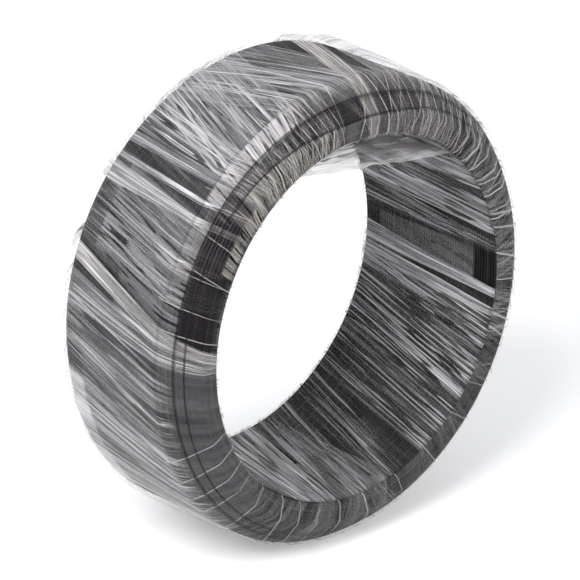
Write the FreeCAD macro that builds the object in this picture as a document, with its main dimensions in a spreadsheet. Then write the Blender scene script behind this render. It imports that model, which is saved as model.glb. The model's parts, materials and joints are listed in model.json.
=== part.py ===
import FreeCAD, Part
import os

import Sketcher

# A coil of bonsai training wire, close wound and wrapped in clear stretch film.
# Frame: the coil's axis lies along Y, its two end faces look along -Y and +Y,
# and the rim stands on the floor at z = 0. All sizes are in millimetres.

# alias, value, what it is
DIMENSIONS = (
    ("outer_diameter", 160.0, "rim of the wrapped coil"),
    ("bore_diameter", 124.0, "clear bore inside the wrap"),
    ("overall_width", 64.4, "between the wrapped end faces"),
    ("bore_ease", 0.8, "slope at each mouth of the bore, both ways"),
    ("end_face_height", 7.4, "radial height of the end faces, from the bore"),
    ("knee_drop", 3.4, "how far the knee of each shoulder lies below the rim"),
    ("knee_width", 52.6, "between the knees of the two shoulders"),
    ("rim_width", 43.2, "straight part of the rim, between the shoulders"),
    ("wrap_thickness", 0.4, "passes of stretch film laid over each other"),
    ("wrap_gap", 0.2, "air between the wire and the film"),
    ("wire_diameter", 1.2, "anodised aluminium wire"),
)

# The wrapped outline from the bore, over an end face and down its shoulder to the rim.
HALF_OUTLINE = (
    ("dims.bore_diameter / 2", "dims.overall_width / 2 - dims.bore_ease"),
    ("dims.bore_diameter / 2 + dims.bore_ease", "dims.overall_width / 2"),
    ("dims.bore_diameter / 2 + dims.end_face_height", "dims.overall_width / 2"),
    ("dims.outer_diameter / 2 - dims.knee_drop", "dims.knee_width / 2"),
    ("dims.outer_diameter / 2", "dims.rim_width / 2"),
)

# The hollow between two neighbouring turns, as it shows on an end face.
VALLEY_RADIUS = "dims.wire_diameter / 4"


def make_sheet(document):
    """Driving dimensions, one row each, with an alias beside its meaning."""
    sheet = document.addObject("Spreadsheet::Sheet", "dims")
    for row, (alias, value, meaning) in enumerate(DIMENSIONS, start=1):
        sheet.set(f"A{row}", alias)
        sheet.set(f"B{row}", str(value))
        sheet.setAlias(f"B{row}", alias)
        sheet.set(f"C{row}", meaning)
    return sheet


def slope(start, finish):
    """The angle of the side from start to finish, measured from the radial direction."""
    return f"atan((({finish[1]}) - ({start[1]})) / (({finish[0]}) - ({start[0]})))"


def half_section(inset):
    """Corners of the half outline moved inwards by inset, as (radius, axial) expressions.

    Two sides at angles a and b share a corner, and it moves by inset / (1 + cos(a - b)) times
    the sum of their inward normals, (sin a, -cos a) and (sin b, -cos b).
    """
    angles = ["90 deg"]
    for start, finish in zip(HALF_OUTLINE, HALF_OUTLINE[1:]):
        angles.append(slope(start, finish))
    angles.append("-90 deg")
    corners = []
    for (radius, axial), before, after in zip(HALF_OUTLINE, angles, angles[1:]):
        share = f"({inset}) / (1 + cos(({before}) - ({after})))"
        moved_radius = f"{radius} + {share} * (sin({before}) + sin({after}))"
        moved_axial = f"{axial} - {share} * (cos({before}) + cos({after}))"
        corners.append((moved_radius, moved_axial))
    return corners


def stairs(start, finish, steps):
    """Corners after start of a staircase whose outer corners lie on the line start to finish."""
    corners = []
    for step in range(1, steps + 1):
        before = f"({start[0]}) + (({finish[0]}) - ({start[0]})) * {step - 1} / {steps}"
        radius = f"({start[0]}) + (({finish[0]}) - ({start[0]})) * {step} / {steps}"
        axial = f"({start[1]}) + (({finish[1]}) - ({start[1]})) * {step} / {steps}"
        corners += [(before, axial), (radius, axial)]
    return corners


def whole_section(half):
    """The half section's corners, then their mirror images across the middle plane."""
    mirrored = [(radius, f"-({axial})") for radius, axial in reversed(half)]
    return half + mirrored


def plane(body, role):
    """One of the body's own origin planes."""
    for feature in body.Origin.OriginFeatures:
        if feature.Role == role:
            return feature
    raise RuntimeError(f"{body.Label} has no {role}")


def new_sketch(body, name):
    """A sketch on the body's XY plane: across is the radius, up is along the coil's axis."""
    sketch = body.newObject("Sketcher::SketchObject", name)
    sketch.AttachmentSupport = [(plane(body, "XY_Plane"), "")]
    sketch.MapMode = "FlatFace"
    return sketch


def value_of(document, expression):
    """The expression worked out in millimetres, to draw a sketch near its final size."""
    result = document.getObject("dims").evalExpression(expression)
    return float(getattr(result, "Value", result))


def layers_between(document, start, finish):
    """How many layers of wire lie between two radii."""
    height = value_of(document, finish) - value_of(document, start)
    return max(1, round(height / value_of(document, "dims.wire_diameter")))


def bind_point(sketch, geometry, position, radius, axial):
    """Hold a point of the sketch at its radius and axial place."""
    point_x = value_of(sketch.Document, radius)
    point_y = value_of(sketch.Document, axial)
    row = sketch.addConstraint(Sketcher.Constraint("DistanceX", -1, 1, geometry, position, point_x))
    sketch.setExpression(f"Constraints[{row}]", radius)
    row = sketch.addConstraint(Sketcher.Constraint("DistanceY", -1, 1, geometry, position, point_y))
    sketch.setExpression(f"Constraints[{row}]", axial)


def add_outline(sketch, corners):
    """A closed outline of straight sides through the corners, each bound to the sheet."""
    points = []
    for radius, axial in corners:
        place = (value_of(sketch.Document, radius), value_of(sketch.Document, axial), 0)
        points.append(FreeCAD.Vector(*place))
    sides = []
    for number, point in enumerate(points):
        following = points[(number + 1) % len(points)]
        sides.append(sketch.addGeometry(Part.LineSegment(point, following), False))
    for number, side in enumerate(sides):
        following = sides[(number + 1) % len(sides)]
        sketch.addConstraint(Sketcher.Constraint("Coincident", side, 2, following, 1))
    for side, (radius, axial) in zip(sides, corners):
        bind_point(sketch, side, 1, radius, axial)


def turn(body, kind, name, sketch):
    """A full turn of the sketch about the coil's axis, added (Revolution) or cut (Groove)."""
    feature = body.newObject(kind, name)
    feature.Profile = sketch
    feature.ReferenceAxis = (sketch, ["V_Axis"])
    feature.Angle = 360.0
    body.Tip = feature
    return feature


def stand_on_rim(body):
    """The coil's axis lies half the rim's diameter above the floor."""
    body.setExpression("Placement.Base.z", "dims.outer_diameter / 2")


def make_wire_coil(document):
    """The wound wire: stepped shoulders, and the turns of each layer ringing the end faces."""
    body = document.addObject("PartDesign::Body", "WireCoil")
    body.Label = "wire_coil"
    mouth, face_start, face_end, knee, rim_edge = half_section("dims.wrap_thickness + dims.wrap_gap")
    half = [mouth, face_start, face_end]
    half += stairs(face_end, knee, layers_between(document, face_end[0], knee[0]))
    half += stairs(knee, rim_edge, layers_between(document, knee[0], rim_edge[0]))

    section = new_sketch(body, "CoilSection")
    add_outline(section, whole_section(half))
    turn(body, "PartDesign::Revolution", "Winding", section)
    document.recompute()
    wound_volume = body.Shape.Volume

    valleys = new_sketch(body, "ValleySection")
    end_layers = layers_between(document, face_start[0], face_end[0])
    for layer in range(1, end_layers):
        radius = f"{face_start[0]} + (({face_end[0]}) - ({face_start[0]})) * {layer} / {end_layers}"
        for axial in (face_start[1], f"-({face_start[1]})"):
            centre = FreeCAD.Vector(value_of(document, radius), value_of(document, axial), 0)
            size = value_of(document, VALLEY_RADIUS)
            circle = valleys.addGeometry(Part.Circle(centre, FreeCAD.Vector(0, 0, 1), size), False)
            bind_point(valleys, circle, 3, radius, axial)
            row = valleys.addConstraint(Sketcher.Constraint("Radius", circle, size))
            valleys.setExpression(f"Constraints[{row}]", VALLEY_RADIUS)
    turn(body, "PartDesign::Groove", "TurnValleys", valleys)
    stand_on_rim(body)
    document.recompute()
    if body.Shape.Volume >= wound_volume:
        raise RuntimeError("the valleys between the turns cut nothing")
    return body


def make_stretch_wrap(document):
    """The film: one closed skin all round the section, over the rim, ends and bore."""
    body = document.addObject("PartDesign::Body", "StretchWrap")
    body.Label = "stretch_wrap"
    section = new_sketch(body, "WrapSection")
    add_outline(section, whole_section(half_section("0")))
    add_outline(section, whole_section(half_section("dims.wrap_thickness")))
    turn(body, "PartDesign::Revolution", "FilmSkin", section)
    stand_on_rim(body)
    return body


def check_and_export(document, bodies):
    """Every object has to be sound before any file is written."""
    document.recompute()
    for item in document.Objects:
        if "Invalid" in item.State or "Error" in item.State:
            raise RuntimeError(f"{item.Label} failed: {item.State}")
    for body in bodies:
        if body.Shape.isNull() or not body.Shape.isValid():
            raise RuntimeError(f"{body.Label} has no valid shape")
    os.makedirs("parts", exist_ok=True)
    for body in bodies:
        body.Shape.exportStep(f"parts/{body.Label}.step")
        box = body.Shape.BoundBox
        size = f"{box.XLength:.2f} x {box.YLength:.2f} x {box.ZLength:.2f}"
        solids = len(body.Shape.Solids)
        print(f"{body.Label}: {solids} solid, {size} mm, {body.Shape.Volume:.1f} mm3")


def main():
    document = FreeCAD.newDocument("bonsai_wire_coil")
    make_sheet(document)
    document.recompute()
    bodies = [make_wire_coil(document), make_stretch_wrap(document)]
    check_and_export(document, bodies)


main()
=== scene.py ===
import json
import math

import bmesh
import bpy
from mathutils import Matrix, Vector, noise


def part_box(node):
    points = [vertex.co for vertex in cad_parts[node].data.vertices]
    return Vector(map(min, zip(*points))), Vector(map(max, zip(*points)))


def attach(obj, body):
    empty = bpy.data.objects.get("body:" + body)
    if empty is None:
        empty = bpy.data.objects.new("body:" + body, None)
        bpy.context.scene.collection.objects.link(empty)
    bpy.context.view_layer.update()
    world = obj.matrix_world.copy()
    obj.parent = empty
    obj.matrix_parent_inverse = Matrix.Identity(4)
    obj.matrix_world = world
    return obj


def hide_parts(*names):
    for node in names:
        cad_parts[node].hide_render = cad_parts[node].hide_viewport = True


bl_info = {
    "name": "Wrapped wire coil",
    "version": (1, 0, 0),
    "blender": (4, 5, 0),
    "location": "3D View > Sidebar > Wire coil",
    "description": "A close-wound coil of anodised wire in clear stretch film",
    "category": "Object",
}

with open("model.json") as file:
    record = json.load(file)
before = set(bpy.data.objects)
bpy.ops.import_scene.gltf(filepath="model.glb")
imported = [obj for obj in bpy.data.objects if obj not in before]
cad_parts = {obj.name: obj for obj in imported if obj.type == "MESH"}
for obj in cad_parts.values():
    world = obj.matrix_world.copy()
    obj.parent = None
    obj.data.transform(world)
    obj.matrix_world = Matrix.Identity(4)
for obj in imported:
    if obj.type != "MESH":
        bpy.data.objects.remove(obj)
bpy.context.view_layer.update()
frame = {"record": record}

MM = 0.001
WRAP_LOW, WRAP_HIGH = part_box("stretch_wrap")
CENTRE = (WRAP_LOW + WRAP_HIGH) / 2
RIM_RADIUS = (WRAP_HIGH.x - WRAP_LOW.x) / 2
HALF_WIDTH = (WRAP_HIGH.y - WRAP_LOW.y) / 2
BORE_RADIUS = next(m for m in frame["record"]["mounts"] if m["name"] == "bore")["dims"]["r_mm"] * MM


# Sizes and colours that a user would change

class CoilSettings(bpy.types.PropertyGroup):
    """The wound wire."""

    wire_diameter: bpy.props.FloatProperty(
        name="Wire diameter", description="Diameter of the anodised wire",
        default=1.2 * MM, unit="LENGTH")
    turn_depth: bpy.props.FloatProperty(
        name="Turn depth", description="How deep the valley between two turns is",
        default=0.42 * MM, unit="LENGTH")
    film_room: bpy.props.FloatProperty(
        name="Film room", description="From the outside of the film to the crests of the wire",
        default=0.6 * MM, unit="LENGTH")
    steps_round: bpy.props.IntProperty(
        name="Steps round", description="Facets in one turn of the wire", default=240)
    colour: bpy.props.StringProperty(
        name="Wire colour", description="Anodised finish, sRGB hex", default="#1A181B")
    # painted highlight: a lighter colour on the crests of some turns, standing in for turns that catch more
    # light
    turn_highlight_colour: bpy.props.StringProperty(
        name="Bright turn colour", description="Turns that catch more light, sRGB hex", default="#383434")


class FilmSettings(bpy.types.PropertyGroup):
    """The stretch film."""

    end_face_height: bpy.props.FloatProperty(
        name="End face height", description="Radial height of the flat of each end",
        default=7.4 * MM, unit="LENGTH")
    knee_drop: bpy.props.FloatProperty(
        name="Knee drop", description="How far the knee of the shoulder lies below the rim",
        default=3.4 * MM, unit="LENGTH")
    knee_half: bpy.props.FloatProperty(
        name="Knee place", description="From the middle of the coil to the knee, along the axis",
        default=26.3 * MM, unit="LENGTH")
    rim_half: bpy.props.FloatProperty(
        name="Rim half width", description="From the middle of the coil to the rim's edge",
        default=21.6 * MM, unit="LENGTH")
    bore_ease: bpy.props.FloatProperty(
        name="Bore ease", description="Slope at the mouth of the bore",
        default=0.8 * MM, unit="LENGTH")
    columns: bpy.props.IntProperty(
        name="Columns", description="Strips of film round the coil", default=720)
    rows: bpy.props.IntProperty(
        name="Rows", description="Steps of one pass round the section", default=130)
    skin_slant: bpy.props.FloatProperty(
        name="Slant", description="Sideways run of the tight film's strands, per unit along", default=-0.3)
    colour: bpy.props.StringProperty(
        name="Film colour", description="Haze of the film, sRGB hex", default="#DCD9DC")
    warm_colour: bpy.props.StringProperty(
        name="Warm film colour", description="Haze where passes pile up, sRGB hex", default="#D0C8BD")


class StageSettings(bpy.types.PropertyGroup):
    """Camera, floor and lights."""

    azimuth: bpy.props.FloatProperty(
        name="Camera azimuth", description="Round the coil from its front end",
        default=math.radians(-42.9), subtype="ANGLE")
    elevation: bpy.props.FloatProperty(
        name="Camera elevation", description="Above the floor",
        default=math.radians(23.1), subtype="ANGLE")
    distance: bpy.props.FloatProperty(
        name="Camera distance", description="From the point aimed at", default=1.58, unit="LENGTH")
    lens: bpy.props.FloatProperty(
        name="Lens", description="Focal length in millimetres", default=300.0)
    aim_right: bpy.props.FloatProperty(
        name="Aim right", description="Aim beside the coil's centre", default=-1.53 * MM, unit="LENGTH")
    aim_up: bpy.props.FloatProperty(
        name="Aim up", description="Aim above the coil's centre", default=0.56 * MM, unit="LENGTH")


# Small helpers

def srgb(text):
    """An sRGB hex colour as linear RGBA."""
    channels = []
    for start in (1, 3, 5):
        value = int(text[start:start + 2], 16) / 255
        channels.append(value / 12.92 if value <= 0.04045 else ((value + 0.055) / 1.055) ** 2.4)
    return (*channels, 1.0)


def add_node(tree, kind, links=None, **settings):
    """A node with its settings; links maps an input's name or number to a socket or a value."""
    node = tree.nodes.new(kind)
    for name, value in settings.items():
        setattr(node, name, value)
    for name, value in (links or {}).items():
        socket = node.inputs[name]
        if isinstance(value, bpy.types.NodeSocket):
            tree.links.new(value, socket)
        else:
            socket.default_value = value
    return node


def new_material(name):
    """An empty material with its tree, its Principled BSDF and its output."""
    material = bpy.data.materials.new(name)
    material.use_nodes = True
    tree = material.node_tree
    tree.nodes.clear()
    shader = add_node(tree, "ShaderNodeBsdfPrincipled")
    add_node(tree, "ShaderNodeOutputMaterial", {"Surface": shader.outputs["BSDF"]})
    return material, tree, shader


def finish_mesh(mesh_data, name, material, smooth=True):
    """The bmesh as a new object at the origin."""
    mesh = bpy.data.meshes.new(name)
    mesh_data.to_mesh(mesh)
    mesh_data.free()
    if smooth:
        mesh.shade_smooth()
    piece = bpy.data.objects.new(name, mesh)
    bpy.context.scene.collection.objects.link(piece)
    mesh.materials.append(material)
    return piece


def place(radius, axial, angle):
    """A point at a radius and an angle round the coil's axis."""
    return Vector((radius * math.cos(angle), axial, CENTRE.z + radius * math.sin(angle)))


class Section:
    """The coil's outline cut across: from the middle of the bore, over the rear end (+Y),
    across the rim to the front end (-Y) and back through the bore."""

    SAMPLES = 1200

    def __init__(self, inset, rounding):
        film = bpy.context.scene.coil_film
        half = [
            (BORE_RADIUS, 0.0),
            (BORE_RADIUS, HALF_WIDTH - film.bore_ease),
            (BORE_RADIUS + film.bore_ease, HALF_WIDTH),
            (BORE_RADIUS + film.end_face_height, HALF_WIDTH),
            (RIM_RADIUS - film.knee_drop, film.knee_half),
            (RIM_RADIUS, film.rim_half),
            (RIM_RADIUS, 0.0),
        ]
        corners = [Vector(corner) for corner in half]
        corners += [Vector((radius, -axial)) for radius, axial in reversed(half[1:-1])]
        self.corners = corners
        lengths = []
        for start, finish in zip(corners, corners[1:] + corners[:1]):
            lengths.append((finish - start).length)
        self.length = sum(lengths)
        self.marks = [0.0]
        for length in lengths:
            self.marks.append(self.marks[-1] + length)
        raw = [self._on_sides(self.length * i / self.SAMPLES) for i in range(self.SAMPLES)]
        reach = max(1, round(rounding / self.length * self.SAMPLES))
        self.points = []
        for i in range(self.SAMPLES):
            near = [raw[(i + k) % self.SAMPLES] for k in range(-reach, reach + 1)]
            self.points.append(sum(near, Vector((0, 0))) / len(near))
        self.normals = []
        for i in range(self.SAMPLES):
            along = self.points[(i + 1) % self.SAMPLES] - self.points[i - 1]
            self.normals.append(Vector((along.y, -along.x)).normalized())
        middle = Vector(((BORE_RADIUS + RIM_RADIUS) / 2, 0))
        if (self.points[0] - middle).dot(self.normals[0]) < 0:
            self.normals = [-normal for normal in self.normals]
        self.points = [p - n * inset for p, n in zip(self.points, self.normals)]

    def _on_sides(self, distance):
        for index, corner in enumerate(self.corners):
            if distance <= self.marks[index + 1]:
                following = self.corners[(index + 1) % len(self.corners)]
                share = (distance - self.marks[index]) / (self.marks[index + 1] - self.marks[index])
                return corner.lerp(following, share)
        return self.corners[0].copy()

    def at(self, share, lift=0.0):
        """The point at a share of the way round, lifted off the surface."""
        place_on = (share % 1.0) * self.SAMPLES
        index = int(place_on)
        part = place_on - index
        following = (index + 1) % self.SAMPLES
        index %= self.SAMPLES
        point = self.points[index].lerp(self.points[following], part)
        normal = self.normals[index].lerp(self.normals[following], part)
        return point + normal * lift

    def share_of(self, corner, axial_sign=1):
        """How far round a numbered corner lies, on the +Y or the -Y half."""
        share = self.marks[corner] / self.length
        return share if axial_sign > 0 else 1.0 - share


# Edges that the film is pulled over: corner of the outline, how far from it towards the bore
# in millimetres, half width in millimetres, and how far the film clears there.
CREASES = (
    (5, 0.0, 0.45, 0.6),
    (4, 0.0, 0.75, 1.0),
    (4, 3.4, 0.5, 0.9),
    (2, 1.6, 0.5, 0.6),
)


# Materials

def anodised_aluminium():
    """Anodised aluminium wire: drawn, then dyed black-brown in a bath; satin, dark, slightly warm.
    The crests of some turns carry a painted highlight: a lighter colour for the light they catch."""
    material, tree, shader = new_material("anodised_aluminium_wire")
    settings = bpy.context.scene.coil_wire
    turn = add_node(tree, "ShaderNodeAttribute", attribute_name="turn")
    # mixes the painted highlight colour into the crests of some turns
    tint = add_node(tree, "ShaderNodeMix", {"Factor": turn.outputs["Fac"],
                                            "A": srgb(settings.colour), "B": srgb(settings.turn_highlight_colour)},
                    data_type="RGBA")
    tree.links.new(tint.outputs["Result"], shader.inputs["Base Color"])
    shader.inputs["Metallic"].default_value = 0.95
    shader.inputs["Roughness"].default_value = 0.45
    return material


def draw_creases(ramp):
    """A thin band on the ramp at each edge that the film is pulled over."""
    section = Section(0.0, 0.0)
    bands = []
    for side in (1, -1):
        for corner, offset, half, depth in CREASES:
            bands.append((section.share_of(corner, side) - side * offset * MM / section.length,
                          half * MM / section.length, depth))
    ramp.elements[0].color = (0, 0, 0, 1)
    ramp.elements[1].color = (0, 0, 0, 1)
    for middle, half, depth in bands:
        for position, value in ((middle - half, 0.0), (middle, depth), (middle + half, 0.0)):
            ramp.elements.new(position).color = (value, value, value, 1)


# Noises drawn out along the film: name, width across and length along in millimetres, detail, and
# the two levels that it goes from none to full between.
# the fine and medium noises make the bright streaks: partly white drawn strands, partly painted highlight
# standing in for glints off the wrinkled film
STRAND_AND_SHEEN_NOISES = (
    ("fine", 0.75, 60.0, 1.0, 0.53, 0.60),
    ("medium", 1.6, 60.0, 2.0, 0.545, 0.60),
    ("broad", 6.0, 90.0, 2.0, 0.38, 0.62),
    ("gaps", 1.3, 22.0, 1.0, 0.555, 0.60),
)

# How much of the wire the film hides, worked out step by step: result, operation, two terms.
COVER_STEPS = (
    ("fine_part", "MULTIPLY", "fine", 0.48),
    ("medium_part", "MULTIPLY", "medium", 0.32),
    # the bright streaks: partly the white of drawn strands, partly painted highlight
    ("strand_streaks_and_sheen", "ADD", "fine_part", "medium_part"),
    ("bunched", "MULTIPLY", "broad", 0.75),
    ("bunched", "ADD", "bunched", 0.3),
    ("strand_streaks_and_sheen", "MULTIPLY", "strand_streaks_and_sheen", "bunched"),
    ("strand_streaks_and_sheen", "MULTIPLY", "strand_streaks_and_sheen", "strands_and_sheen"),
    ("uneven", "MULTIPLY", "broad", 0.5),
    ("uneven", "ADD", "uneven", 0.5),
    ("smooth", "MULTIPLY", "haze", "uneven"),
    ("cover", "ADD", "smooth", "strand_streaks_and_sheen"),
    ("open", "MULTIPLY", "gaps", "slits"),
    ("closed", "SUBTRACT", 1.0, "open"),
    ("cover", "MULTIPLY", "cover", "closed"),
    ("tight", "SUBTRACT", 1.0, "crease"),
    ("cover", "MULTIPLY", "cover", "tight"),
)


def stretch_film(name, seed):
    """Linear low-density polyethylene film: blown thin and clear, then stretched over itself;
    glossy, with a white haze where it is drawn into fine strands. Its bright streaks are partly that haze
    and partly painted highlight: glints off the wrinkled film painted into it as white haze."""
    material, tree, shader = new_material(name)
    settings = bpy.context.scene.coil_film
    coords = add_node(tree, "ShaderNodeUVMap", uv_map="film")
    haze = add_node(tree, "ShaderNodeAttribute", attribute_name="haze")
    # how strong the streaks are: partly drawn strands, partly painted highlight
    strands_and_sheen = add_node(tree, "ShaderNodeAttribute", attribute_name="strands_and_sheen")
    slits = add_node(tree, "ShaderNodeAttribute", attribute_name="slits")
    warmth = add_node(tree, "ShaderNodeAttribute", attribute_name="warmth")

    place_map = add_node(tree, "ShaderNodeUVMap", uv_map="place")
    place_on = add_node(tree, "ShaderNodeSeparateXYZ", {"Vector": place_map.outputs["UV"]})
    round_once = add_node(tree, "ShaderNodeMath", {0: place_on.outputs["Y"]}, operation="FRACT")
    clear = add_node(tree, "ShaderNodeValToRGB", {"Fac": round_once.outputs["Value"]})
    draw_creases(clear.color_ramp)

    signals = {"haze": haze.outputs["Fac"], "strands_and_sheen": strands_and_sheen.outputs["Fac"],
               "slits": slits.outputs["Fac"], "crease": clear.outputs["Color"]}
    for number, (signal, across_mm, along_mm, detail, low, high) in enumerate(STRAND_AND_SHEEN_NOISES):
        mapped = add_node(tree, "ShaderNodeMapping", {
            "Vector": coords.outputs["UV"],
            "Location": ((seed + number + 1) * 3.1, (seed + number + 1) * 1.7, 0.0),
            "Scale": (1 / (across_mm * MM), 1 / (along_mm * MM), 1.0)})
        grain = add_node(tree, "ShaderNodeTexNoise", {
            "Vector": mapped.outputs["Vector"], "Scale": 1.0, "Detail": detail, "Roughness": 0.62},
            noise_dimensions="2D")
        spread = add_node(tree, "ShaderNodeMapRange", {
            "Value": grain.outputs["Fac"], "From Min": low, "From Max": high,
            "To Min": 0.0, "To Max": 1.0})
        signals[signal] = spread.outputs["Result"]
    for signal, operation, first, second in COVER_STEPS:
        terms = {0: signals.get(first, first), 1: signals.get(second, second)}
        step = add_node(tree, "ShaderNodeMath", terms, operation=operation)
        signals[signal] = step.outputs["Value"]
    alpha = add_node(tree, "ShaderNodeClamp", {"Value": signals["cover"], "Min": 0.005, "Max": 0.92})
    tint = add_node(tree, "ShaderNodeMix", {"Factor": warmth.outputs["Fac"],
                                            "A": srgb(settings.colour), "B": srgb(settings.warm_colour)},
                    data_type="RGBA")
    tree.links.new(tint.outputs["Result"], shader.inputs["Base Color"])
    tree.links.new(alpha.outputs["Result"], shader.inputs["Alpha"])
    shader.inputs["Roughness"].default_value = 0.28
    shader.inputs["IOR"].default_value = 1.51
    return material


# Pieces

TURN_PACKING = 0.98      # distance from turn to turn, in wire diameters
TURN_UNEVEN = 0.16 * MM  # how far a turn may stand in or out
TURN_SEAT = 0.1 * MM     # how far all the crests lie under their line, clear of the film


class COIL_OT_wire(bpy.types.Operator):
    """Wind the wire: one spun profile whose ridges are the turns."""

    bl_idname = "coil.wire"
    bl_label = "Wire"

    def execute(self, context):
        settings = context.scene.coil_wire
        section = Section(settings.film_room, 0.0)
        turns = round(section.length / (settings.wire_diameter * TURN_PACKING))
        per_turn = 3
        mesh_data = bmesh.new()
        turn_layer = mesh_data.verts.layers.float.new("turn")
        profile = []
        count = turns * per_turn
        for index in range(count):
            share = index / count
            inside = index % per_turn
            depth = settings.turn_depth if inside == 0 else 0.0
            turn_number = index // per_turn
            uneven = noise.noise(Vector((turn_number * 0.83, 4.7, 0.0))) * TURN_UNEVEN
            point = section.at(share, -depth + (uneven if inside else 0.0) - TURN_SEAT)
            profile.append(mesh_data.verts.new((point.x, point.y, 0.0)))
            # painted highlight: how much lighter colour this turn's crests get, standing in for the light
            # they catch
            turn_glint = noise.noise(Vector((turn_number * 0.71, 9.1, 0.0)))
            profile[-1][turn_layer] = max(0.0, turn_glint * 1.6) if inside else 0.0
        edges = []
        for index, vert in enumerate(profile):
            edges.append(mesh_data.edges.new((vert, profile[(index + 1) % count])))
        bmesh.ops.spin(mesh_data, geom=profile + edges, cent=(0, 0, 0), axis=(0, 1, 0),
                       angle=2 * math.pi, steps=settings.steps_round, use_merge=True)
        bmesh.ops.remove_doubles(mesh_data, verts=mesh_data.verts, dist=0.001 * MM)
        bmesh.ops.translate(mesh_data, verts=mesh_data.verts, vec=(0, 0, CENTRE.z))
        bmesh.ops.recalc_face_normals(mesh_data, faces=mesh_data.faces)
        piece = finish_mesh(mesh_data, "wire_turns", anodised_aluminium())
        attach(piece, "root")
        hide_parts("wire_coil")
        return {"FINISHED"}


# the second layer carries both drawn strands and painted highlight
FILM_LAYERS = ("haze", "strands_and_sheen", "slits", "warmth")

# Places where the tight film under the passes looks different: angles in degrees round the
# coil, first and last station of the outline, then haze, strands and painted sheen, slits and warmth.
PLAIN = (0.07, 0.12, 0.4, 0.0)
PATCHES = (
    # tight under the passes through the bore
    (0, 360, "front_mouth", "bore_end", 0.03, 0.08, 0.4, 0.0),
    (245, 285, "front_mouth", "bore_end", 0.16, 0.3, 0.8, 0.0),
    (20, 70, "front_mouth", "bore_end", 0.07, 0.2, 0.8, 0.0),
    (-8, 4, "bore_front", "bore_back", 0.17, 0.0, 0.3, 0.0),
    (-8, 8, "front_mouth", "bore_front", 0.0, 0.0, 0.0, 0.0),
    # clear film lying free of the wire on the left shoulder and end face
    (139, 173, "front_knee", "front_lead", 0.0, 0.02, 0.9, 0.0),
    (139, 173, "front_lead", "front_mouth", 0.13, 0.03, 0.9, 0.0),
    (88, 100, "rim_front", "front_knee", 0.09, 0.0, 0.0, 0.0),
    (88, 100, "front_knee", "front_step", 0.02, 0.0, 0.0, 0.0),
    (88, 100, "front_step", "front_mouth", 0.10, 0.0, 0.0, 0.0),
    (55, 88, "rim_front", "front_knee", 0.09, 0.06, 0.6, 0.1),
    (55, 88, "front_knee", "front_step", 0.03, 0.06, 0.6, 0.1),
    (55, 88, "front_step", "front_mouth", 0.11, 0.06, 0.6, 0.1),
    (-25, 55, "rim_front", "front_mouth", 0.07, 0.2, 0.9, 0.1),
    (173, 232, "rim_front", "front_mouth", 0.11, 0.0, 0.2, 0.0),
    (232, 284, "rim_front", "front_mouth", 0.06, 0.15, 0.6, 0.0),
    (284, 335, "rim_front", "front_mouth", 0.09, 0.05, 0.4, 0.0),
    (100, 131, "front_step", "front_lead", 0.22, 0.7, 1.0, 1.0),
    (131, 139, "front_knee", "front_lead", 0.10, 0.1, 1.0, 0.5),
    (128, 152, "front_face", "front_lead", 0.28, 0.3, 1.0, 0.9),
    (100, 139, "front_lead", "front_mouth", 0.12, 0.5, 1.0, 0.4),
    (102, 126, "front_knee", "front_step", 0.0, 0.3, 0.6, 0.0),
    (103, 109, "rim_front", "front_knee", 0.12, 0.6, 1.0, 0.0),
    # painted highlight: the pale band on the front shoulder here is haze standing in for light glancing off
    # the film
    (109, 124, "rim_front", "front_knee", 0.50, 0.9, 0.9, 0.0),
    (125, 131, "rim_front", "front_knee", 0.42, 0.1, 1.0, 0.0),
    (132, 138, "rim_front", "front_knee", 0.40, 0.1, 1.0, 0.0),
    # light smooth film on the left of the rim, as far as the knee
    (142, 150, "rim_step", "front_knee", 0.20, 0.1, 0.5, 0.0),
    (150, 163, "rim_step", "front_knee", 0.26, 0.1, 0.9, 0.0),
    (163, 172, "rim_middle", "front_knee", 0.18, 0.1, 0.9, 0.0),
    (184, 200, "rim_step", "rim_front", 0.16, 0.0, 0.0, 0.0),
    (200, 232, "rim_step", "rim_front", 0.24, 0.1, 0.3, 0.0),
    (196, 236, "rear_knee", "rim_step", 0.72, 0.3, 0.3, 0.0),
    # the uncovered corner at the top of the rim
    (79, 88, "rim_rear", "rim_middle", 0.0, 0.0, 0.0, 0.0),
)

# How far the edges of the patches on the rim lean round the coil on their way from its front edge
# to its rear edge, in degrees.
PATCH_SLANT = 9

# Threads of gathered film down the front end: first and last angle in degrees, the step from
# one to the next, how far each leans round the coil, width in millimetres, and warmth.
THREADS = (
    (-28, 30, 5.1, 7.0, 0.8, 0.1),
    (16, 52, 3.9, 5.0, 0.7, 0.4),
    (50, 86, 3.3, -3.0, 0.5, 0.8),
    (56, 84, 5.3, 7.0, 0.5, 0.8),
    (99, 112, 1.9, -1.5, 0.4, 0.5),
    (113, 138, 4.3, 2.0, 0.4, 0.7),
    (143, 170, 6.1, 4.0, 0.4, 0.3),
    (203, 226, 6.3, -4.0, 0.45, 0.0),
    (231, 282, 8.9, -5.0, 0.5, 0.2),
    (288, 332, 12.3, -3.0, 0.45, 0.0),
)
THREAD_LOOK = (0.32, 0.3, 0.0)   # haze, strands and painted sheen, and slits of every thread
THREAD_LIFT = 0.25 * MM


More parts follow.
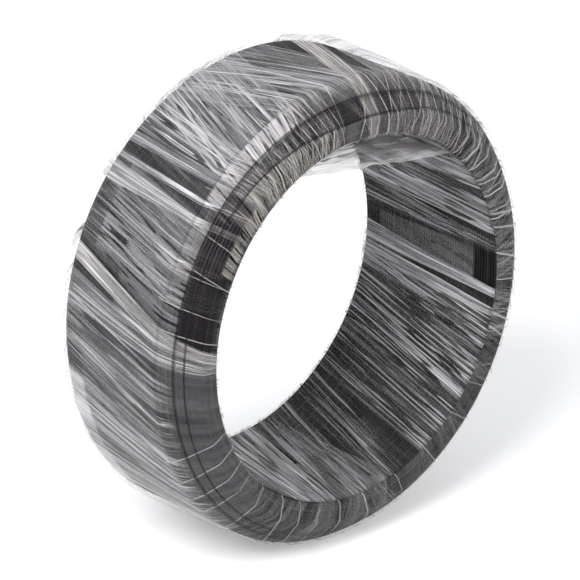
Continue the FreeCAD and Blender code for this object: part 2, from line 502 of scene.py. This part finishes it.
def stations(section):
    """The named places on the outline, as shares of the way round it."""
    knee = section.share_of(4, -1)
    return {
        "bore_middle": 0.0,
        "rear_mouth": section.share_of(1),
        "rear_lead": section.share_of(2),
        "rear_face": section.share_of(3),
        "rear_knee": section.share_of(4),
        "rim_rear": section.share_of(5),
        "rim_step": section.share_of(6) - 15 * MM / section.length,
        "rim_middle": section.share_of(6),
        "rim_front": section.share_of(5, -1),
        "front_knee": knee,
        "front_step": knee + 3.4 * MM / section.length,
        "front_face": section.share_of(3, -1),
        "front_lead": section.share_of(2, -1) - 1.6 * MM / section.length,
        "front_mouth": section.share_of(1, -1),
        "bore_front": 1.0 - 20 * MM / section.length,
        "bore_back": 1.0 + 24 * MM / section.length,
        "bore_end": 1.0 + section.share_of(1),
    }


def lies_between(first, last, degrees):
    """Whether an angle, or the same angle a turn less, lies from first to last."""
    return first <= degrees <= last or first <= degrees - 360 <= last


def crease_place(section, share, angle):
    """The share that the creases are drawn at: near the top of the coil the steps of the wire
    lie further down the end, so the creases follow them there."""
    marks = stations(section)
    top = math.exp(-((math.degrees(angle) % 360 - 88) / 32) ** 2)
    drawn = [marks[name] for name in ("rim_front", "front_knee", "front_step", "front_lead", "front_mouth")]
    shifts = (-1.0 * MM, 1.9 * MM, 6.0 * MM, 0.8 * MM, 0.0)
    real = [mark + top * shift / section.length for mark, shift in zip(drawn, shifts)]
    for index in range(len(real) - 1):
        if real[index] <= share <= real[index + 1]:
            part = (share - real[index]) / (real[index + 1] - real[index])
            return drawn[index] + part * (drawn[index + 1] - drawn[index])
    return share


def add_layers(mesh_data):
    """The attributes and maps that the film's material reads."""
    for name in FILM_LAYERS:
        mesh_data.verts.layers.float.new(name)
    mesh_data.loops.layers.uv.new("film")
    mesh_data.loops.layers.uv.new("place")


def set_layers(mesh_data, vert, values):
    for name, value in zip(FILM_LAYERS, values):
        vert[mesh_data.verts.layers.float[name]] = value


def map_film(mesh_data, section, faces, film_uv, spot):
    """Fill both maps; film_uv and spot give the map's point and the (angle, share) of a vertex."""
    film_layer = mesh_data.loops.layers.uv["film"]
    place_layer = mesh_data.loops.layers.uv["place"]
    known = {}
    for face in faces:
        for loop in face.loops:
            vert = loop.vert
            if vert not in known:
                angle, share = spot(vert)
                known[vert] = (film_uv(vert), (angle / (2 * math.pi), crease_place(section, share, angle)))
            loop[film_layer].uv, loop[place_layer].uv = known[vert]


def finish_film(mesh_data, name, material_name, seed):
    piece = finish_mesh(mesh_data, name, stretch_film(material_name, seed))
    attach(piece, "root")
    return piece


class COIL_OT_film_skin(bpy.types.Operator):
    """Lay the tight passes of film: one closed skin round the whole section."""

    bl_idname = "coil.film_skin"
    bl_label = "Tight film"

    def execute(self, context):
        settings = context.scene.coil_film
        section = Section(0.3 * MM, 0.5 * MM)
        marks = stations(section)
        mesh_data = bmesh.new()
        bmesh.ops.create_grid(mesh_data, x_segments=settings.columns, y_segments=settings.rows, size=0.5)
        add_layers(mesh_data)

        def spot(vert):
            return 2 * math.pi * (vert.co.x + 0.5), vert.co.y + 0.5

        def film_uv(vert):
            angle, share = spot(vert)
            along = share * section.length
            return angle * RIM_RADIUS + settings.skin_slant * along, along

        map_film(mesh_data, section, mesh_data.faces, film_uv, spot)
        for vert in mesh_data.verts:
            angle, share = spot(vert)
            degrees = math.degrees(angle)
            lift = abs(noise.noise(Vector((math.cos(angle) * 25, math.sin(angle) * 25, share * 4))))
            drawn = crease_place(section, share, angle)
            values = PLAIN
            for first, last, start, finish, *patch in PATCHES:
                low, high = marks[start], marks[finish]
                if low <= drawn <= high or low <= drawn + 1.0 <= high:
                    slant = 0.0
                    if marks["rim_rear"] <= drawn < marks["rim_front"]:
                        run = marks["rim_front"] - marks["rim_rear"]
                        slant = PATCH_SLANT * (marks["rim_front"] - drawn) / run
                    if lies_between(first, last, degrees + slant):
                        values = patch
            point = section.at(share, lift * 0.12 * MM)
            vert.co = place(point.x, point.y, angle)
            set_layers(mesh_data, vert, values)
        bmesh.ops.remove_doubles(mesh_data, verts=mesh_data.verts, dist=0.005 * MM)
        bmesh.ops.recalc_face_normals(mesh_data, faces=mesh_data.faces)
        piece = finish_film(mesh_data, "film_skin", "polyethylene_film_tight", 1.0)
        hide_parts("stretch_wrap")
        return {"FINISHED"}


# One pass of film over the outside: angles in degrees at the rim's rear edge, its front edge
# and the front mouth of the bore; widths in millimetres at the same places; haze, strands and painted
# sheen, slits and warmth; how far it stands off, in millimetres; and how much of it carries on down
# the front end.
OUTER_PASSES = (
    # over the top, from the right
    (46, 58, 60, 30, 26, 14, 0.30, 1.0, 0.6, 0.0, 1.1, 0.3),
    (60, 71, 68, 30, 24, 12, 0.34, 1.0, 0.5, 0.0, 2.0, 0.3),
    (75, 87, 86, 12, 7, 4, 0.34, 1.0, 0.3, 0.5, 1.2, 0.8),
    (99, 88, 82, 30, 26, 7, 0.22, 0.9, 0.7, 0.0, 0.5, 0.2),
    (108, 101, 103, 24, 22, 6, 0.16, 0.8, 0.9, 0.0, 0.2, 0.3),
    (103, 113, 112, 24, 20, 16, 0.14, 0.9, 0.9, 0.0, 0.3, 0.4),
    (112, 124, 121, 22, 20, 12, 0.16, 0.9, 0.9, 0.0, 0.3, 0.4),
    (121, 127, 124, 16, 12, 4, 0.12, 0.9, 0.9, 0.0, 0.3, 0.3),
    # narrow passes with tight film between them
    (129, 132, 130, 4, 3, 1.5, 0.20, 0.9, 0.3, 0.0, 0.3, 0.6),
    (134, 137.5, 135, 2.5, 2, 1.5, 0.20, 0.9, 0.3, 0.0, 0.3, 0.6),
    (138, 142, 141, 7, 3, 1.2, 0.24, 0.7, 0.3, 0.0, 0.5, 0.4),
    (142, 149, 150, 10, 14, 1.2, 0.06, 0.6, 0.9, 0.0, 0.3, 0.1),
    (150, 157, 160, 10, 12, 1.2, 0.04, 0.6, 0.9, 0.0, 0.3, 0.1),
    # the gathered pass across the left of the rim
    (158, 169, 176, 6, 5, 4, 0.34, 1.0, 0.3, 0.1, 0.6, 0.8),
    (166, 173.5, 178, 11, 8, 3, 0.20, 0.9, 0.5, 0.0, 0.5, 0.8),
    (173, 183, 188, 14, 14, 2, 0.08, 0.7, 0.9, 0.0, 0.3, 0.0),
    (182, 195, 198, 18, 16, 2, 0.10, 0.9, 0.8, 0.0, 0.2, 0.0),
    (192, 206, 212, 18, 16, 3, 0.14, 0.9, 0.8, 0.0, 0.2, 0.1),
    (204, 216, 222, 20, 14, 5, 0.24, 0.9, 0.6, 0.0, 0.3, 0.2),
    (215, 226, 232, 20, 16, 6, 0.30, 0.8, 0.4, 0.1, 0.3, 0.2),
    (229, 238, 244, 18, 18, 5, 0.18, 0.5, 0.4, 0.3, 0.8, 0.3),
    # the bottom and the right, where mostly the front end shows
    (246, 252, 256, 24, 18, 6, 0.18, 0.7, 0.6, 0.1, 0.5, 0.4),
    (262, 270, 268, 22, 18, 6, 0.16, 0.8, 0.6, 0.0, 0.5, 0.5),
    (276, 286, 276, 24, 18, 6, 0.14, 0.9, 0.7, 0.0, 0.5, 0.4),
    (292, 300, 296, 26, 22, 3, 0.16, 0.8, 0.7, 0.0, 0.6, 0.1),
    (308, 318, 312, 24, 20, 3, 0.18, 0.9, 0.7, 0.0, 0.8, 0.1),
    (322, 334, 328, 24, 18, 4, 0.18, 0.8, 0.7, 0.0, 1.2, 0.3),
    (340, 350, 344, 26, 22, 14, 0.18, 1.0, 0.7, 0.0, 0.9, 0.4),
    (354, 368, 360, 24, 20, 14, 0.16, 1.0, 0.7, 0.0, 0.8, 0.5),
    (374, 384, 376, 24, 20, 16, 0.16, 1.0, 0.7, 0.0, 0.8, 0.4),
    (390, 402, 394, 24, 22, 18, 0.24, 1.0, 0.7, 0.0, 1.0, 0.4),
)

# One pass through the bore: angles in degrees at its rear and its front mouth, widths in
# millimetres there; haze, strands and painted sheen, slits and warmth; how far it stands off the wire, in
# millimetres, at its ends and at its middle.
BORE_PASSES = (
    (60, 54, 26, 16, 0.42, 1.0, 0.7, 0.0, 0.3, 0.8),
    (42, 38, 22, 18, 0.36, 1.0, 0.8, 0.0, 0.3, 0.7),
    (26, 18, 20, 14, 0.28, 1.0, 0.9, 0.0, 0.3, 0.6),
    (12, 7, 12, 4, 0.04, 0.7, 0.8, 0.0, 0.3, 0.6),
    (-3, -8, 7, 3, 0.34, 1.0, 0.1, 0.0, 0.5, 1.2),
    (-9, -14, 6, 3, 0.30, 0.8, 0.3, 0.0, 0.5, 1.2),
    (-10, -20, 11, 8, 0.08, 1.0, 0.9, 0.0, 0.4, 1.0),
    (-15, -27, 13, 12, 0.06, 0.9, 1.0, 0.0, 0.4, 1.3),
    (-22, -36, 14, 14, 0.03, 1.0, 1.0, 0.0, 0.4, 1.0),
    (-32, -46, 16, 14, 0.04, 1.0, 1.0, 0.0, 0.4, 0.8),
    (-44, -58, 14, 12, 0.03, 0.7, 0.9, 0.0, 0.3, 0.6),
    (-58, -76, 12, 12, 0.03, 0.7, 0.6, 0.0, 0.3, 0.6),
    (-72, -92, 16, 14, 0.08, 0.8, 0.6, 0.0, 0.3, 0.6),
    (-88, -106, 14, 14, 0.38, 1.0, 0.8, 0.0, 0.3, 0.8),
    (-102, -118, 16, 16, 0.44, 1.0, 0.7, 0.0, 0.3, 0.8),
    (-122, -138, 22, 20, 0.16, 0.8, 0.5, 0.0, 0.3, 0.8),
    (-144, -160, 22, 20, 0.16, 0.9, 0.5, 0.0, 0.3, 0.8),
    (-168, -184, 24, 22, 0.14, 0.9, 0.5, 0.0, 0.3, 0.8),
    (-192, -206, 24, 22, 0.16, 0.9, 0.5, 0.0, 0.3, 0.8),
    (-216, -230, 24, 22, 0.16, 0.9, 0.5, 0.0, 0.3, 0.8),
    (-240, -252, 24, 22, 0.16, 0.9, 0.5, 0.0, 0.3, 0.8),
    (-264, -276, 22, 20, 0.16, 0.9, 0.5, 0.0, 0.3, 0.8),
)


def between(marks, share):
    """A value read off a list of (share, value), straight from each to the next."""
    if share <= marks[0][0]:
        return marks[0][1]
    for (start, first), (finish, last) in zip(marks, marks[1:]):
        if share <= finish:
            part = (share - start) / (finish - start)
            return first + (last - first) * part
    return marks[-1][1]


def add_pass(mesh_data, section, angles, widths, lifts, covers, values, seed):
    """A ribbon of film along the outline, gathered into pleats that run its whole length."""
    start, finish = angles[0][0], angles[-1][0]
    widest = max(width for share, width in widths)
    columns = max(3, min(56, round(widest / (0.6 * MM))))
    rows = max(8, round((finish - start) * section.length / (1.8 * MM)))
    made = bmesh.ops.create_grid(mesh_data, x_segments=columns, y_segments=rows, size=0.5)
    new_faces = {face for vert in made["verts"] for face in vert.link_faces}

    def spot(vert):
        share = start + (finish - start) * (vert.co.y + 0.5)
        wander = noise.noise(Vector((share * 4, seed * 5.7, 0.0))) * 0.5 * MM
        width = between(widths, share)
        return between(angles, share) + (vert.co.x * width + wander) / section.at(share).x, share

    def film_uv(vert):
        share = start + (finish - start) * (vert.co.y + 0.5)
        gathered = vert.co.x * (0.5 * widest + 0.5 * between(widths, share))
        return gathered + seed * 0.37, (share - start) * section.length

    map_film(mesh_data, section, new_faces, film_uv, spot)
    for vert in made["verts"]:
        angle, share = spot(vert)
        across, along = vert.co.x, vert.co.y + 0.5
        width = between(widths, share)
        ridge = noise.noise(Vector((across * widest / (1.3 * MM), along * 3.0, seed * 7.3)))
        wave = noise.noise(Vector((across * widest / (6 * MM), along * 2.0, seed * 3.1)))
        edge = 1.0 - (2 * abs(across)) ** 6
        lift = between(lifts, share) * (0.5 + 0.5 * edge)
        lift += (0.14 * ridge + 0.2 * abs(wave)) * MM * min(1.0, width / (4 * MM))
        point = section.at(share, max(0.04 * MM, lift))
        vert.co = place(point.x, point.y, angle)
        cover = between(covers, share)
        haze, strands_and_sheen, slits, warmth = values
        set_layers(mesh_data, vert, (haze * cover ** 2, strands_and_sheen * cover, slits, warmth + 0.5 * (1 - cover)))


class COIL_OT_outer_passes(bpy.types.Operator):
    """Draw the loose passes of film over the rim and down both ends."""

    bl_idname = "coil.outer_passes"
    bl_label = "Outer passes"

    def execute(self, context):
        section = Section(0.0, 0.8 * MM)
        marks = stations(section)
        mesh_data = bmesh.new()
        add_layers(mesh_data)
        for seed, one in enumerate(OUTER_PASSES):
            rear, front, mouth, wide_rear, wide_front, wide_mouth, *values, lift, ring = one
            before = rear - (front - rear) / 2
            # at each place on the outline: angle, width, lift and how much of the pass there is
            stops = {
                "rear_mouth": (before, wide_rear * 0.7, 0.3, 1.0),
                "rear_knee": ((before + 3 * rear) / 4, wide_rear, lift * 2.2, 1.0),
                "rim_rear": (rear, wide_rear, max(0.2, lift * 1.3), 1.0),
                "rim_middle": ((rear + front) / 2, (wide_rear + wide_front) / 2, lift, 1.0),
                "rim_front": (front, wide_front, lift * 0.5, 1.0),
                "front_knee": (front * 0.7 + mouth * 0.3, wide_front * 0.8 + wide_mouth * 0.2,
                               lift * 0.4, ring),
                "front_face": (front * 0.3 + mouth * 0.7, wide_front * 0.5 + wide_mouth * 0.5,
                               lift * 0.5, ring),
                "front_mouth": (mouth, wide_mouth, 0.15, ring),
            }
            angles, widths, lifts, covers = (
                [(marks[name], stop[column] * scale) for name, stop in stops.items()]
                for column, scale in enumerate((math.radians(1), MM, MM, 1.0)))
            add_pass(mesh_data, section, angles, widths, lifts, covers, values, seed + 1)
        for first, last, step, lean, width, warmth in THREADS:
            for number in range(int((last - first) / step) + 1):
                jitter = noise.noise(Vector((number * 2.3, first * 0.7, 1.0)))
                top = first + number * step + jitter * step
                foot = top + lean * (1.0 + 1.5 * jitter)
                spread = width * (1.0 + 0.8 * jitter) * MM
                add_pass(mesh_data, section,
                         [(marks["rim_front"] - (3 + 4 * jitter) * MM / section.length, math.radians(top)),
                          (marks["front_mouth"], math.radians(foot))],
                         [(marks["rim_front"], spread), (marks["front_mouth"], spread * 0.7)],
                         [(marks["rim_front"], THREAD_LIFT)], [(marks["rim_front"], 1.0)],
                         (*THREAD_LOOK, warmth), 100 + number)
        finish_film(mesh_data, "film_outer_passes", "polyethylene_film_drawn", 7.0)
        return {"FINISHED"}


class COIL_OT_bore_passes(bpy.types.Operator):
    """Draw the passes of film through the bore, slanting from mouth to mouth."""

    bl_idname = "coil.bore_passes"
    bl_label = "Bore passes"

    def execute(self, context):
        section = Section(0.0, 0.8 * MM)
        marks = stations(section)
        first, last = marks["front_mouth"], marks["bore_end"]
        mesh_data = bmesh.new()
        add_layers(mesh_data)
        for seed, one in enumerate(BORE_PASSES):
            rear, front, wide_rear, wide_front, *values, low, high = one
            add_pass(mesh_data, section,
                     [(first, math.radians(front)), (last, math.radians(rear))],
                     [(first, wide_front * MM), (last, wide_rear * MM)],
                     [(first, low * MM), ((first + last) / 2, high * MM), (last, low * MM)],
                     [(first, 1.0)], values, seed + 41)
        finish_film(mesh_data, "film_bore_passes", "polyethylene_film_bore", 13.0)
        return {"FINISHED"}


# The slack film: the angles at its middle and from there to its sides, how long it is along the
# coil, where its front edge lies, how deep its crumples are, and its haze, strands and painted sheen, slits
# and warmth.
SLACK_MIDDLE = math.radians(82)
SLACK_HALF_SPAN = math.radians(32)
SLACK_LENGTH = 50 * MM
SLACK_FRONT = -31.2 * MM
SLACK_CRUMPLE = 1.2 * MM
SLACK_LOOK = (0.74, 0.9, 0.3, 0.1)


class COIL_OT_hanging_film(bpy.types.Operator):
    """Hang the slack film that spans the top of the bore, straight across its arc."""

    bl_idname = "coil.hanging_film"
    bl_label = "Hanging film"

    def execute(self, context):
        section = Section(0.0, 0.8 * MM)
        reach = BORE_RADIUS * math.cos(SLACK_HALF_SPAN)
        mesh_data = bmesh.new()
        add_layers(mesh_data)
        made = bmesh.ops.create_grid(mesh_data, x_segments=90, y_segments=60, size=0.5)

        def spot(vert):
            return SLACK_MIDDLE + 2 * SLACK_HALF_SPAN * vert.co.x, 1.0

        def film_uv(vert):
            return (vert.co.y * 50 + vert.co.x * 6) * MM, vert.co.x * 70 * MM

        map_film(mesh_data, section, mesh_data.faces, film_uv, spot)
        for vert in made["verts"]:
            across, along = vert.co.x, vert.co.y + 0.5
            angle = spot(vert)[0]
            drop = between([(0.0, 1.0), (0.55, 1.0), (1.0, 0.0)], along)
            chord = min(BORE_RADIUS, reach / math.cos(angle - SLACK_MIDDLE))
            crumple = noise.noise(Vector((across * 9, along * 14, 3.3))) * SLACK_CRUMPLE
            radius = BORE_RADIUS + (chord - BORE_RADIUS) * drop - 0.3 * MM
            edge = 1.0 - (2 * abs(across)) ** 8
            radius = min(BORE_RADIUS - 0.2 * MM, radius + crumple * edge)
            vert.co = place(radius, SLACK_FRONT + along * SLACK_LENGTH, angle)
            set_layers(mesh_data, vert, SLACK_LOOK)
        finish_film(mesh_data, "film_hanging", "polyethylene_film_slack", 19.0)
        return {"FINISHED"}


def rays_that_see_white(tree):
    """1 for camera, glossy and transmission rays, and 0 for the rays that light the coil."""
    path = add_node(tree, "ShaderNodeLightPath")
    signal = path.outputs["Is Camera Ray"]
    for name in ("Is Glossy Ray", "Is Transmission Ray"):
        either = add_node(tree, "ShaderNodeMath", {0: signal, 1: path.outputs[name]}, operation="MAXIMUM")
        signal = either.outputs["Value"]
    return signal


class COIL_OT_stage(bpy.types.Operator):
    """Set the floor, the lights and the camera."""

    bl_idname = "coil.stage"
    bl_label = "Stage"

    def execute(self, context):
        scene = context.scene
        settings = scene.coil_stage
        self.add_floor()
        self.add_world(scene)
        self.add_lamps()
        self.add_camera(scene, settings)
        scene.view_settings.view_transform = "Standard"
        return {"FINISHED"}

    def add_floor(self):
        mesh_data = bmesh.new()
        bmesh.ops.create_grid(mesh_data, x_segments=1, y_segments=1, size=3.0)
        material, tree, shader = new_material("pale_floor")
        shader.inputs["Base Color"].default_value = srgb("#F4F4F4")
        shader.inputs["Roughness"].default_value = 0.8
        seen = rays_that_see_white(tree)
        # the lamps nearly light the floor to white; this adds the rest and leaves the shadow
        rest = add_node(tree, "ShaderNodeMath", {0: seen, 1: 0.3}, operation="MULTIPLY")
        white = add_node(tree, "ShaderNodeEmission", {"Color": srgb("#FFFFFF"),
                                                      "Strength": rest.outputs["Value"]})
        mixed = add_node(tree, "ShaderNodeAddShader", {0: shader.outputs["BSDF"],
                                                       1: white.outputs["Emission"]})
        output = next(node for node in tree.nodes if node.type == "OUTPUT_MATERIAL")
        tree.links.new(mixed.outputs["Shader"], output.inputs["Surface"])
        floor = finish_mesh(mesh_data, "floor", material, smooth=False)

    def add_world(self, scene):
        world = bpy.data.worlds.new("studio")
        world.use_nodes = True
        tree = world.node_tree
        tree.nodes.clear()
        seen = rays_that_see_white(tree)
        fill = add_node(tree, "ShaderNodeBackground", {"Color": srgb("#F2F4F8"), "Strength": 0.55})
        white = add_node(tree, "ShaderNodeBackground", {"Color": srgb("#FFFFFF"), "Strength": 1.0})
        mixed = add_node(tree, "ShaderNodeMixShader", {0: seen,
                                                       1: fill.outputs["Background"],
                                                       2: white.outputs["Background"]})
        add_node(tree, "ShaderNodeOutputWorld", {"Surface": mixed.outputs["Shader"]})
        scene.world = world

    def add_lamps(self):
        lamps = (
            ("key_lamp", (-0.9, -0.35, 1.0), 0.6, 16.0),
            ("front_lamp", (0.5, -1.1, 0.5), 0.5, 5.0),
        )
        for name, spot, size, power in lamps:
            lamp = bpy.data.lights.new(name, "AREA")
            lamp.shape = "SQUARE"
            lamp.size = size
            lamp.energy = power
            holder = bpy.data.objects.new(name, lamp)
            holder.location = spot
            aim = CENTRE - Vector(spot)
            holder.rotation_euler = aim.to_track_quat("-Z", "Y").to_euler()
            bpy.context.scene.collection.objects.link(holder)

    def add_camera(self, scene, settings):
        azimuth, elevation = settings.azimuth, settings.elevation
        back = Vector((math.sin(azimuth) * math.cos(elevation),
                       -math.cos(azimuth) * math.cos(elevation),
                       math.sin(elevation)))
        right = Vector((math.cos(azimuth), math.sin(azimuth), 0.0))
        up = back.cross(right)
        aim = CENTRE + right * settings.aim_right + up * settings.aim_up
        data = bpy.data.cameras.new("camera")
        data.lens = settings.lens
        data.sensor_width = 36.0
        data.clip_end = 20.0
        camera = bpy.data.objects.new("camera", data)
        turned = Matrix((right, up, back)).transposed().to_4x4()
        camera.matrix_world = Matrix.Translation(aim + back * settings.distance) @ turned
        scene.collection.objects.link(camera)
        scene.camera = camera


class COIL_PT_panel(bpy.types.Panel):
    """The coil's settings and its pieces."""

    bl_idname = "COIL_PT_panel"
    bl_label = "Wire coil"
    bl_space_type = "VIEW_3D"
    bl_region_type = "UI"
    bl_category = "Wire coil"

    def draw(self, context):
        for name in ("coil_wire", "coil_film", "coil_stage"):
            group = getattr(context.scene, name)
            box = self.layout.box()
            for key in group.bl_rna.properties.keys():
                if key not in {"rna_type", "name"}:
                    box.prop(group, key)
        for operator in OPERATORS:
            self.layout.operator(operator.bl_idname)


GROUPS = {"coil_wire": CoilSettings, "coil_film": FilmSettings, "coil_stage": StageSettings}
OPERATORS = (COIL_OT_wire, COIL_OT_film_skin, COIL_OT_outer_passes, COIL_OT_bore_passes,
             COIL_OT_hanging_film, COIL_OT_stage)
CLASSES = (*GROUPS.values(), *OPERATORS, COIL_PT_panel)


def register():
    for item in CLASSES:
        bpy.utils.register_class(item)
    for name, group in GROUPS.items():
        setattr(bpy.types.Scene, name, bpy.props.PointerProperty(type=group))


def unregister():
    for name in GROUPS:
        delattr(bpy.types.Scene, name)
    for item in reversed(CLASSES):
        bpy.utils.unregister_class(item)


def main():
    register()
    bpy.ops.coil.wire()
    bpy.ops.coil.film_skin()
    bpy.ops.coil.outer_passes()
    bpy.ops.coil.bore_passes()
    bpy.ops.coil.hanging_film()
    bpy.ops.coil.stage()


if __name__ == "__main__":
    main()
